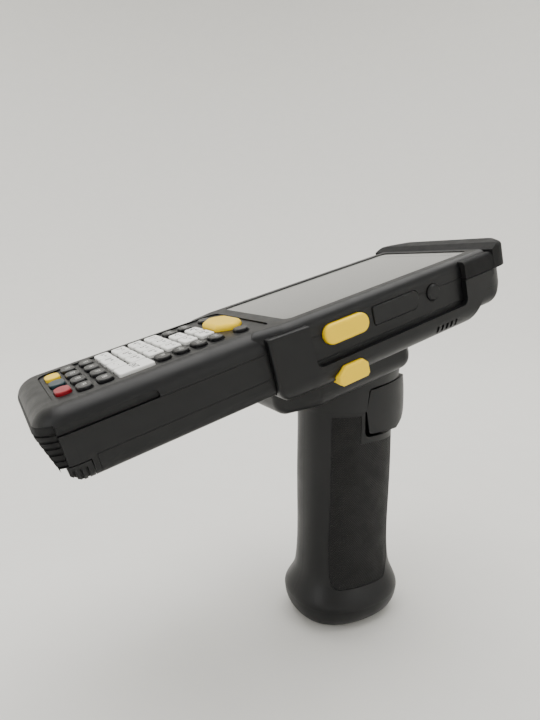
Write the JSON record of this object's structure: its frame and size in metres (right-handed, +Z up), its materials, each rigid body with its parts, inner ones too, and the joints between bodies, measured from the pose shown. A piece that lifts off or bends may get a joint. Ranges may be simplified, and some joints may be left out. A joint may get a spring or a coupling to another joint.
{
  "type": "data collector",
  "caption": "Handheld keypad and touch-screen data terminal held nose-up in a cradle sleeve on a pistol grip that stands on its own foot with trigger, scan keys, latches and port flap",
  "frame": {"origin": "on the flat sole of the foot, on the grip's upright line, 1.4 mm behind the middle of the sole", "axes": "+X forward towards the head with the scan window, +Y to the device's left, +Z up from the foot"},
  "size_m": [0.1985, 0.0788, 0.1748],
  "materials": {
    "housing_black": "satin",
    "rubber_black": "matte",
    "sleeve_black": "satin",
    "grip_black": "satin",
    "key_white": "satin",
    "key_black": "satin",
    "key_yellow": "satin",
    "key_blue": "satin",
    "key_red": "satin",
    "cover_glass": "polished",
    "window_red": "polished",
    "display_dark": "gloss",
    "board_green": "satin",
    "silicone_grey": "matte",
    "steel": "brushed",
    "cell": "satin"
  },
  "bodies": {
    "terminal_and_grip": {"battery_pack": "housing_black", "display_glass": "cover_glass", "display_module": "display_dark", "end_bumper": "rubber_black", "foot_cap": "grip_black", "foot_pad": "rubber_black", "front_housing": "housing_black", "grip_battery": "cell", "grip_insert_left": "rubber_black", "grip_insert_right": "rubber_black", "grip_screws": "steel", "grip_shell_left": "grip_black", "grip_shell_right": "grip_black", "head_bumper": "rubber_black", "key_board": "board_green", "keymat": "silicone_grey", "keypad_bezel": "housing_black", "main_board": "board_green", "rear_cover": "housing_black", "rear_housing": "housing_black", "scan_engine": "display_dark", "scan_window": "window_red", "sleeve": "sleeve_black", "sleeve_screws": "steel", "trigger_pin": "steel", "trigger_spring": "steel", "trigger_switch": "display_dark"},
    "press_blue_key": {"blue_key": "key_blue"},
    "press_enter_key": {"enter_key": "key_white"},
    "press_number_key_1a": {"number_key_1a": "key_white"},
    "press_number_key_1b": {"number_key_1b": "key_white"},
    "press_number_key_1c": {"number_key_1c": "key_white"},
    "press_number_key_2a": {"number_key_2a": "key_white"},
    "press_number_key_2b": {"number_key_2b": "key_white"},
    "press_number_key_2c": {"number_key_2c": "key_white"},
    "press_number_key_3a": {"number_key_3a": "key_white"},
    "press_number_key_3b": {"number_key_3b": "key_white"},
    "press_number_key_3c": {"number_key_3c": "key_white"},
    "press_number_key_4a": {"number_key_4a": "key_white"},
    "press_number_key_4b": {"number_key_4b": "key_white"},
    "press_number_key_4c": {"number_key_4c": "key_white"},
    "press_number_key_5b": {"number_key_5b": "key_white"},
    "press_number_key_5c": {"number_key_5c": "key_white"},
    "press_number_key_6b": {"number_key_6b": "key_white"},
    "press_number_key_6c": {"number_key_6c": "key_white"},
    "press_red_key": {"red_key": "key_red"},
    "press_scan_key": {"scan_key": "key_yellow"},
    "press_soft_keys_first_row": {"soft_keys_first_row": "key_black"},
    "press_soft_keys_second_row": {"soft_keys_second_row": "key_black"},
    "press_soft_keys_sides": {"soft_keys_sides": "key_black"},
    "press_yellow_key": {"yellow_key": "key_yellow"},
    "press_right_scan_key": {"right_scan_key": "key_yellow"},
    "press_left_scan_key": {"left_scan_key": "key_yellow"},
    "press_round_side_key": {"round_side_key": "housing_black"},
    "slide_battery_latch": {"battery_latch": "housing_black"},
    "press_sleeve_latch_right": {"sleeve_latch_right": "key_yellow"},
    "press_sleeve_latch_left": {"sleeve_latch_left": "key_yellow"},
    "swing_port_flap": {"port_flap": "housing_black"},
    "pull_trigger": {"trigger": "grip_black", "trigger_pad": "rubber_black"}
  },
  "joints": [
    {"name": "press_blue_key_motion", "type": "slide", "parent": "terminal_and_grip", "child": "press_blue_key", "axis": [0.2686, 0, -0.9633], "range_m": [0, 0.0006], "stiffness_N_per_m": 400},
    {"name": "press_enter_key_motion", "type": "slide", "parent": "terminal_and_grip", "child": "press_enter_key", "axis": [0.2686, 0, -0.9633], "range_m": [0, 0.0006], "stiffness_N_per_m": 400},
    {"name": "press_number_key_1a_motion", "type": "slide", "parent": "terminal_and_grip", "child": "press_number_key_1a", "axis": [0.2686, 0, -0.9633], "range_m": [0, 0.0006], "stiffness_N_per_m": 400},
    {"name": "press_number_key_1b_motion", "type": "slide", "parent": "terminal_and_grip", "child": "press_number_key_1b", "axis": [0.2686, 0, -0.9633], "range_m": [0, 0.0006], "stiffness_N_per_m": 400},
    {"name": "press_number_key_1c_motion", "type": "slide", "parent": "terminal_and_grip", "child": "press_number_key_1c", "axis": [0.2686, 0, -0.9633], "range_m": [0, 0.0006], "stiffness_N_per_m": 400},
    {"name": "press_number_key_2a_motion", "type": "slide", "parent": "terminal_and_grip", "child": "press_number_key_2a", "axis": [0.2686, 0, -0.9633], "range_m": [0, 0.0006], "stiffness_N_per_m": 400},
    {"name": "press_number_key_2b_motion", "type": "slide", "parent": "terminal_and_grip", "child": "press_number_key_2b", "axis": [0.2686, 0, -0.9633], "range_m": [0, 0.0006], "stiffness_N_per_m": 400},
    {"name": "press_number_key_2c_motion", "type": "slide", "parent": "terminal_and_grip", "child": "press_number_key_2c", "axis": [0.2686, 0, -0.9633], "range_m": [0, 0.0006], "stiffness_N_per_m": 400},
    {"name": "press_number_key_3a_motion", "type": "slide", "parent": "terminal_and_grip", "child": "press_number_key_3a", "axis": [0.2686, 0, -0.9633], "range_m": [0, 0.0006], "stiffness_N_per_m": 400},
    {"name": "press_number_key_3b_motion", "type": "slide", "parent": "terminal_and_grip", "child": "press_number_key_3b", "axis": [0.2686, 0, -0.9633], "range_m": [0, 0.0006], "stiffness_N_per_m": 400},
    {"name": "press_number_key_3c_motion", "type": "slide", "parent": "terminal_and_grip", "child": "press_number_key_3c", "axis": [0.2686, 0, -0.9633], "range_m": [0, 0.0006], "stiffness_N_per_m": 400},
    {"name": "press_number_key_4a_motion", "type": "slide", "parent": "terminal_and_grip", "child": "press_number_key_4a", "axis": [0.2686, 0, -0.9633], "range_m": [0, 0.0006], "stiffness_N_per_m": 400},
    {"name": "press_number_key_4b_motion", "type": "slide", "parent": "terminal_and_grip", "child": "press_number_key_4b", "axis": [0.2686, 0, -0.9633], "range_m": [0, 0.0006], "stiffness_N_per_m": 400},
    {"name": "press_number_key_4c_motion", "type": "slide", "parent": "terminal_and_grip", "child": "press_number_key_4c", "axis": [0.2686, 0, -0.9633], "range_m": [0, 0.0006], "stiffness_N_per_m": 400},
    {"name": "press_number_key_5b_motion", "type": "slide", "parent": "terminal_and_grip", "child": "press_number_key_5b", "axis": [0.2686, 0, -0.9633], "range_m": [0, 0.0006], "stiffness_N_per_m": 400},
    {"name": "press_number_key_5c_motion", "type": "slide", "parent": "terminal_and_grip", "child": "press_number_key_5c", "axis": [0.2686, 0, -0.9633], "range_m": [0, 0.0006], "stiffness_N_per_m": 400},
    {"name": "press_number_key_6b_motion", "type": "slide", "parent": "terminal_and_grip", "child": "press_number_key_6b", "axis": [0.2686, 0, -0.9633], "range_m": [0, 0.0006], "stiffness_N_per_m": 400},
    {"name": "press_number_key_6c_motion", "type": "slide", "parent": "terminal_and_grip", "child": "press_number_key_6c", "axis": [0.2686, 0, -0.9633], "range_m": [0, 0.0006], "stiffness_N_per_m": 400},
    {"name": "press_red_key_motion", "type": "slide", "parent": "terminal_and_grip", "child": "press_red_key", "axis": [0.2686, 0, -0.9633], "range_m": [0, 0.0006], "stiffness_N_per_m": 400},
    {"name": "press_scan_key_motion", "type": "slide", "parent": "terminal_and_grip", "child": "press_scan_key", "axis": [0.2686, 0, -0.9633], "range_m": [0, 0.0006], "stiffness_N_per_m": 400},
    {"name": "press_soft_keys_first_row_motion", "type": "slide", "parent": "terminal_and_grip", "child": "press_soft_keys_first_row", "axis": [0.2686, 0, -0.9633], "range_m": [0, 0.0006], "stiffness_N_per_m": 400},
    {"name": "press_soft_keys_second_row_motion", "type": "slide", "parent": "terminal_and_grip", "child": "press_soft_keys_second_row", "axis": [0.2686, 0, -0.9633], "range_m": [0, 0.0006], "stiffness_N_per_m": 400},
    {"name": "press_soft_keys_sides_motion", "type": "slide", "parent": "terminal_and_grip", "child": "press_soft_keys_sides", "axis": [0.2686, 0, -0.9633], "range_m": [0, 0.0006], "stiffness_N_per_m": 400},
    {"name": "press_yellow_key_motion", "type": "slide", "parent": "terminal_and_grip", "child": "press_yellow_key", "axis": [0.2686, 0, -0.9633], "range_m": [0, 0.0006], "stiffness_N_per_m": 400},
    {"name": "press_right_scan_key_motion", "type": "slide", "parent": "terminal_and_grip", "child": "press_right_scan_key", "axis": [0, 1, 0], "range_m": [0, 0.0008], "stiffness_N_per_m": 400},
    {"name": "press_left_scan_key_motion", "type": "slide", "parent": "terminal_and_grip", "child": "press_left_scan_key", "axis": [0, -1, 0], "range_m": [0, 0.0008], "stiffness_N_per_m": 400},
    {"name": "press_round_side_key_motion", "type": "slide", "parent": "terminal_and_grip", "child": "press_round_side_key", "axis": [0, 1, 0], "range_m": [0, 0.0006], "stiffness_N_per_m": 400},
    {"name": "slide_battery_latch_motion", "type": "slide", "parent": "terminal_and_grip", "child": "slide_battery_latch", "axis": [-0.9633, 0, -0.2686], "range_m": [0, 0.0015], "stiffness_N_per_m": 500},
    {"name": "press_sleeve_latch_right_motion", "type": "slide", "parent": "terminal_and_grip", "child": "press_sleeve_latch_right", "axis": [0, 1, 0], "range_m": [0, 0.0008], "stiffness_N_per_m": 600},
    {"name": "press_sleeve_latch_left_motion", "type": "slide", "parent": "terminal_and_grip", "child": "press_sleeve_latch_left", "axis": [0, -1, 0], "range_m": [0, 0.0008], "stiffness_N_per_m": 600},
    {"name": "swing_port_flap_motion", "type": "hinge", "parent": "terminal_and_grip", "child": "swing_port_flap", "pos_m": [0.00048, -0.0355, 0.14287], "axis": [0.9633, 0, 0.2686], "range_deg": [0, 95]},
    {"name": "pull_trigger_motion", "type": "hinge", "parent": "terminal_and_grip", "child": "pull_trigger", "pos_m": [0.014, 0, 0.106], "axis": [0, 1, 0], "range_deg": [0, 7], "stiffness_Nm_per_rad": 0.6}
  ]
}
